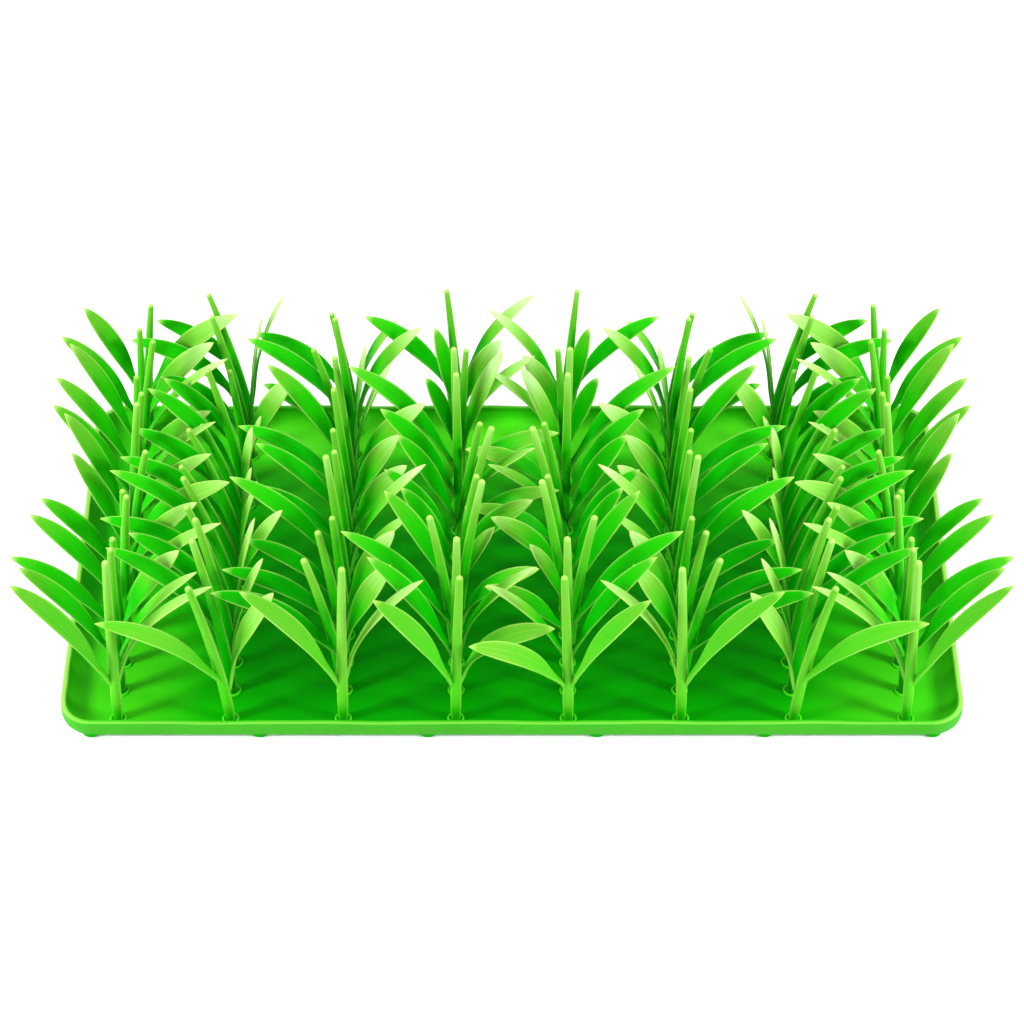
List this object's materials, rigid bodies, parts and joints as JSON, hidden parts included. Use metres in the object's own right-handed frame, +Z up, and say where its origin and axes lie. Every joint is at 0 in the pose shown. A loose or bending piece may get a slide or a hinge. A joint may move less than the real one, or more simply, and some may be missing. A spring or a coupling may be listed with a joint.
{
  "type": "grass lick mat",
  "caption": "Shallow silicone tray with a low rim and round feet, planted with lines of grass tufts that slow a pet licking food off its floor.",
  "frame": {"origin": "on the surface the mat lies on, under the middle of the tray", "axes": "+X across the mat to the right, +Y from the front edge to the back edge, +Z up"},
  "size_m": [0.3306, 0.155, 0.0784],
  "materials": {
    "tray_silicone": "satin moulded silicone, bright green",
    "grass_silicone": "satin moulded silicone, bright green with paler blade edges and tips"
  },
  "bodies": {
    "root": {"tray": "tray_silicone", "grass_line_1": "grass_silicone", "grass_line_2": "grass_silicone", "grass_line_3": "grass_silicone", "grass_line_4": "grass_silicone", "grass_line_5": "grass_silicone", "grass_line_6": "grass_silicone", "grass_line_7": "grass_silicone", "grass_line_8": "grass_silicone"}
  },
  "joints": []
}
